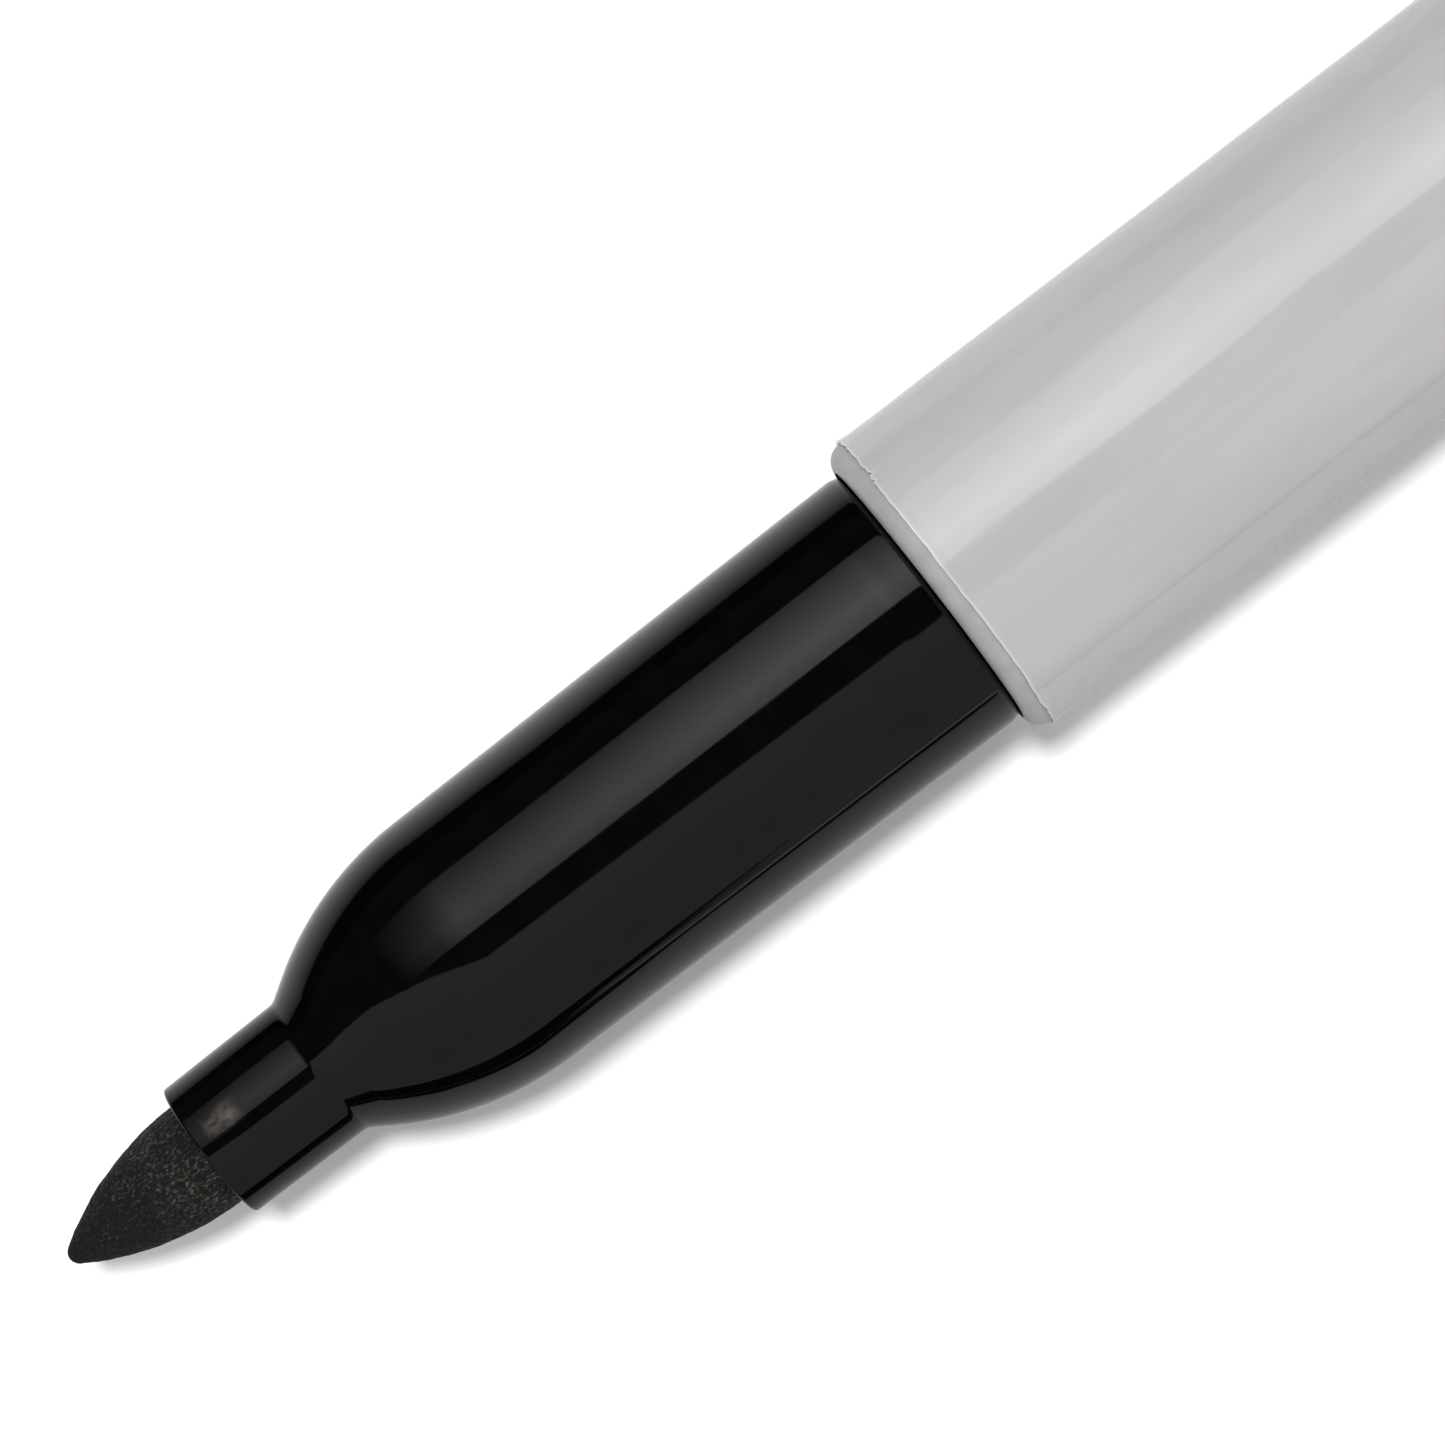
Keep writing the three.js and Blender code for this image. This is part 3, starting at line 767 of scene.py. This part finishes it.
def clip_station(share):
    """Depth, top height, bottom height and half width of the clip, from its boss to its toe."""
    depth = CLIP_ROOT + CLIP_BOSS_LENGTH - share * (CLIP_LENGTH + CLIP_BOSS_LENGTH)
    from_root = CLIP_ROOT - depth
    from_tip = depth - (CLIP_ROOT - CLIP_LENGTH)
    surface = cap_radius(depth)
    along_arm = max(from_root, 0) / CLIP_LENGTH
    arm_top = taper(along_arm, 0, CLIP_ROOT_OUTER, 1, CLIP_TOE_OUTER)
    arm_bottom = arm_top - taper(along_arm, 0, CLIP_ROOT_THICKNESS, 1, CLIP_TOE_THICKNESS)
    on_boss = smoothstep(0.3, 0, from_root)
    top = arm_top + (CLIP_BOSS_OUTER - CLIP_ROOT_OUTER) * on_boss
    top -= CLIP_BOSS_SLOPE * smoothstep(-CLIP_BOSS_FLAT, -CLIP_BOSS_LENGTH, from_root)
    top -= 0.3 * smoothstep(3.4, 0.4, from_tip) + 0.7 * smoothstep(0.5, 0, from_tip)
    root_drop = smoothstep(4.6, 2.2, from_root)
    bottom = arm_bottom + (surface - CLIP_SUNK - arm_bottom) * root_drop
    toe_drop = smoothstep(3.6, 1.8, from_tip)
    bottom += (surface + CLIP_TOE_GAP - arm_bottom) * toe_drop + 0.3 * smoothstep(0.7, 0, from_tip)
    half = taper(along_arm, 0, CLIP_HALF_WIDTH, 1, CLIP_TIP_HALF_WIDTH)
    half += (CLIP_BOSS_HALF_WIDTH - CLIP_HALF_WIDTH) * on_boss
    half -= 0.55 * smoothstep(1.4, 0, from_tip)
    return depth, top, bottom, half


def clip_ring(bm, depth, top, bottom, half):
    """One rounded section of the clip, with a slightly crowned top."""
    corner = min(CLIP_CORNER, (top - bottom) * 0.35)
    ring = []
    for quadrant, (side, end) in enumerate(((1, 1), (-1, 1), (-1, -1), (1, -1))):
        for step in range(6):
            angle = math.radians(90 * quadrant + 18 * step)
            across = side * (half - corner) + corner * math.cos(angle)
            height = (top if end > 0 else bottom) - end * corner + corner * math.sin(angle)
            if end > 0:
                height -= CLIP_CROWNING * (across / half) ** 2
            ring.append(bm.verts.new(clip_place(depth, across, height)))
    return ring


def clip_mesh():
    """The clip as a row of sections, from the boss to the toe."""
    bm = bmesh.new()
    steps = 140
    rings = [clip_ring(bm, *clip_station(step / steps)) for step in range(steps + 1)]
    skin_rings(bm, rings, closed=False)
    bm.faces.new(rings[0])
    bm.faces.new(rings[-1])
    return mesh_object("clip_arm", bm, 50)


clip = clip_mesh()
clip.data.materials.append(BLACK)
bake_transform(clip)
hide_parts("pocket_clip")


# ---- Inner pieces that stay as designed -------------------------------------------------------

for node, material in (
    ("reservoir_core", RESERVOIR),
    ("reservoir_film", WRAP),
    ("breather_tube", TUBE),
):
    frame["nodes"][node].data.materials[0] = material


# ---- Desk -------------------------------------------------------------------------------------

def plane(name, corners):
    bm = bmesh.new()
    bm.faces.new([bm.verts.new(corner) for corner in corners])
    return mesh_object(name, bm)


NEAR_EDGE = 0.034                # metres from the marker's axis to the edge of the sheet in front of it
FAR_EDGE = 0.048
NOZZLE_SQUEEZE = 1.38            # how much nearer the sheet's edges are at the nib end
SQUEEZE_X = (-0.066, -0.058)     # metres along, where the squeeze sets in
FAR_X = (-0.064, -0.054)         # metres along, where the sheet's far side stops being plain desk
SHEET_REACH = 0.06               # metres from the axis that the sheet's brightness is given for
# The sheet's brightness is a painted reflection of the desk; its dimmer run on the -Y side is painted shadow.
SHEET_GLOW = (                   # metres from the marker's axis towards +Y, and brightness there
    (-SHEET_REACH, 0.3), (-FAR_EDGE, 0.3), (-FAR_EDGE + 0.002, 0.002), (-NEAR_EDGE - 0.002, 0.002),
    (-NEAR_EDGE, 0.37), (-0.01, 0.44), (-0.003, 0.42), (0.006, 0.8), (0.0105, 0.64),
    (0.016, 0.5), (0.0215, 0.36), (0.031, 0.15), (0.0325, 0.002),
)


def desk_material():
    """White desk. What gloss mirrors of it is a painted glow, not the lit desk: the sheet under the marker,
    dimmer on its -Y side as painted shadow of the marker, and a dimmer desk far away.
    """
    made = Finish("desk", Roughness=0.8, IOR=1.3)
    made.link(
        made.ramp(made.noise((90, 90, 90), 2), (0.3, (0.9, 0.9, 0.9, 1)), (0.7, (0.93, 0.93, 0.93, 1))),
        made.shader.inputs["Base Color"],
    )
    split = made.add("ShaderNodeSeparateXYZ")
    made.link(made.where, split.inputs["Vector"])
    squeeze = made.spread(split.outputs["X"], *SQUEEZE_X, NOZZLE_SQUEEZE, 1)
    across = made.combine("MULTIPLY", split.outputs["Y"], squeeze)
    reach = made.spread(across, -SHEET_REACH, SHEET_REACH, 0, 1)
    shade = made.ramp(reach, *[
        ((SHEET_REACH + metres) / (2 * SHEET_REACH), (bright, bright, bright, 1))
        for metres, bright in SHEET_GLOW
    ])
    sheet = made.spread(across, -FAR_EDGE - 0.001, -FAR_EDGE + 0.001, 0, 1)
    far_desk = made.spread(split.outputs["X"], *FAR_X, 0, 1)
    glow = made.add("ShaderNodeEmission")
    made.link(shade, glow.inputs["Color"])
    made.link(made.combine("MAXIMUM", sheet, far_desk), glow.inputs["Strength"])
    mix = made.add("ShaderNodeMixShader")
    made.link(made.add("ShaderNodeLightPath").outputs["Is Glossy Ray"], mix.inputs["Fac"])
    made.link(made.shader.outputs["BSDF"], mix.inputs[1])
    made.link(glow.outputs["Emission"], mix.inputs[2])
    made.link(mix.outputs["Shader"], made.tree.nodes["Material Output"].inputs["Surface"])
    return made.material


DESK_REACH = 3                   # metres each way
desk = plane("desk", [(x * DESK_REACH, y * DESK_REACH, 0) for x, y in ((-1, -1), (1, -1), (1, 1), (-1, 1))])
desk.data.materials.append(desk_material())


# ---- Light tent, seen only in reflections -----------------------------------------------------

TENT_RADIUS = 0.9                # metres
TENT_FRONT = -3                  # metres along, beyond the nib
TENT_COLUMNS = 181
TENT_STEP = 0.02                 # metres between columns
TENT_ROWS = 361
DARK = 0.025                     # brightness of the tent between its lights
STRIP = (-62.7, -10.3)           # degrees from straight up
STRIP_PEAK = -25.5
STRIP_SOFT = 0.6                 # degrees over which the strip's edges fade, each way
STRIP_GLOW = (0.4, 1.5, 1.05)    # at the strip's start, peak and end
STRIP_LEVEL = (                  # metres along, and the share of the strip's glow there
    (0.06, 1), (0, 1.22), (-0.08, 0.99), (-0.125, 0.75), (-0.2, 0.52), (-0.3, 0.27), (-0.5, 0.09), (-0.62, 0),
)
# Metres along, and degrees from straight up where the band starts.
BAND_START = ((0, 18.4), (-0.47, -2), (-1.05, -17.5), (-1.6, -22), (-2.2, -24))
BAND_END = 90
BAND_SOFT = 0.8
BAND_GLOW = (0.4, 0.27)          # at the band's start and end


def read_along(table, along):
    """A value from (metres along the marker, value) pairs that run from its middle out past the nib."""
    for (near, near_value), (far, far_value) in zip(table, table[1:]):
        if along > far:
            return taper(min(along, near), near, near_value, far, far_value)
    return table[-1][1]


def tent_glow(degrees, along):
    """Brightness of the tent by angle from straight up and by distance along the marker.

    It is a bright strip that fades out past the nib, and a broad dim band that widens there.
    """
    glow = DARK
    strip_start, strip_end = STRIP
    if strip_start - STRIP_SOFT < degrees < strip_end + STRIP_SOFT:
        start_glow, peak_glow, end_glow = STRIP_GLOW
        if degrees < STRIP_PEAK:
            inner = taper(degrees, strip_start, start_glow, STRIP_PEAK, peak_glow)
        else:
            inner = taper(degrees, STRIP_PEAK, peak_glow, strip_end, end_glow)
        inner *= smoothstep(strip_start - STRIP_SOFT, strip_start + STRIP_SOFT, degrees)
        inner *= smoothstep(strip_end + STRIP_SOFT, strip_end - STRIP_SOFT, degrees)
        glow += inner * read_along(STRIP_LEVEL, along)
    start = read_along(BAND_START, along)
    band = smoothstep(start - BAND_SOFT, start + BAND_SOFT, degrees)
    return glow + band * taper(degrees, start, BAND_GLOW[0], BAND_END, BAND_GLOW[1])


def light_tent():
    """Half a tube of light over the desk, with its brightness kept at its vertices."""
    bm = bmesh.new()
    shade = bm.verts.layers.float.new("glow")
    columns = [TENT_FRONT + TENT_STEP * step for step in range(TENT_COLUMNS)]
    rows = []
    for step in range(TENT_ROWS):
        degrees = 180 * step / (TENT_ROWS - 1) - 90
        turn = math.radians(degrees)
        row = []
        for along in columns:
            vert = bm.verts.new((along, -TENT_RADIUS * math.sin(turn), TENT_RADIUS * math.cos(turn)))
            vert[shade] = tent_glow(degrees, along)
            row.append(vert)
        rows.append(row)
    for lower, upper in zip(rows, rows[1:]):
        for i in range(len(columns) - 1):
            bm.faces.new((lower[i], lower[i + 1], upper[i + 1], upper[i]))
    tent = mesh_object("light_tent", bm)
    material = bpy.data.materials.new("tent_glow")
    material.use_nodes = True
    tree = material.node_tree
    tree.nodes.clear()
    source = tree.nodes.new("ShaderNodeAttribute")
    source.attribute_name = "glow"
    glow = tree.nodes.new("ShaderNodeEmission")
    out = tree.nodes.new("ShaderNodeOutputMaterial")
    tree.links.new(source.outputs["Fac"], glow.inputs["Strength"])
    tree.links.new(glow.outputs["Emission"], out.inputs["Surface"])
    tent.data.materials.append(material)
    for ray in ("camera", "diffuse", "transmission", "volume_scatter", "shadow"):
        setattr(tent, f"visible_{ray}", False)


light_tent()


# ---- Lights -----------------------------------------------------------------------------------

def far_light(name, degrees, strength, spread_degrees):
    """A broad distant light, at an angle from straight up towards +Y. It isn't mirrored in the gloss."""
    data = bpy.data.lights.new(name, "SUN")
    data.energy = strength * math.pi
    data.angle = math.radians(spread_degrees)
    light = bpy.data.objects.new(name, data)
    light.rotation_euler = (math.radians(-degrees), 0, 0)
    light.visible_glossy = False
    bpy.context.collection.objects.link(light)


def surroundings():
    """A pale room: pale to the camera, a soft cool fill on matt surfaces, dark in reflections."""
    world = bpy.data.worlds.new("room")
    world.use_nodes = True
    bpy.context.scene.world = world
    tree = world.node_tree
    fill = tree.nodes["Background"]
    fill.inputs["Color"].default_value = (0.96, 0.975, 1.0, 1)
    fill.inputs["Strength"].default_value = 0.63
    dark = tree.nodes.new("ShaderNodeBackground")
    dark.inputs["Color"].default_value = (0.03, 0.03, 0.03, 1)
    pale = tree.nodes.new("ShaderNodeBackground")
    pale.inputs["Color"].default_value = (0.96, 0.96, 0.96, 1)
    rays = tree.nodes.new("ShaderNodeLightPath")
    for_gloss = tree.nodes.new("ShaderNodeMixShader")
    for_camera = tree.nodes.new("ShaderNodeMixShader")
    links = tree.links
    links.new(rays.outputs["Is Glossy Ray"], for_gloss.inputs["Fac"])
    links.new(fill.outputs["Background"], for_gloss.inputs[1])
    links.new(dark.outputs["Background"], for_gloss.inputs[2])
    links.new(rays.outputs["Is Camera Ray"], for_camera.inputs["Fac"])
    links.new(for_gloss.outputs["Shader"], for_camera.inputs[1])
    links.new(pale.outputs["Background"], for_camera.inputs[2])
    links.new(for_camera.outputs["Shader"], tree.nodes["World Output"].inputs["Surface"])


far_light("key", 9.5, 0.8, 9)
far_light("low_fill", -86, 0.12, 12)
surroundings()
bpy.context.scene.view_settings.view_transform = "Standard"


# ---- Camera -----------------------------------------------------------------------------------

LEAN = math.radians(37.7)        # of the marker's axis in the picture
VIEW_WIDTH = 45.73               # millimetres across the picture, at the marker's axis
TIP_RIGHT, TIP_UP = -20.65, -16.98   # the nib's tip in the picture, from its middle


def camera():
    """Looks down square to the marker's axis, which leans across the picture."""
    data = bpy.data.cameras.new("camera")
    data.lens = 150
    data.sensor_width = 36
    right = ALONG * math.cos(LEAN) - LEFT * math.sin(LEAN)
    up = ALONG * math.sin(LEAN) + LEFT * math.cos(LEAN)
    centre = TIP - (right * TIP_RIGHT + up * TIP_UP) * MM
    distance = VIEW_WIDTH * MM * data.lens / data.sensor_width
    made = bpy.data.objects.new("camera", data)
    turn = Matrix((right, up, UP)).transposed().to_4x4()
    made.matrix_world = Matrix.Translation(centre + UP * distance) @ turn
    bpy.context.collection.objects.link(made)
    bpy.context.scene.camera = made


camera()
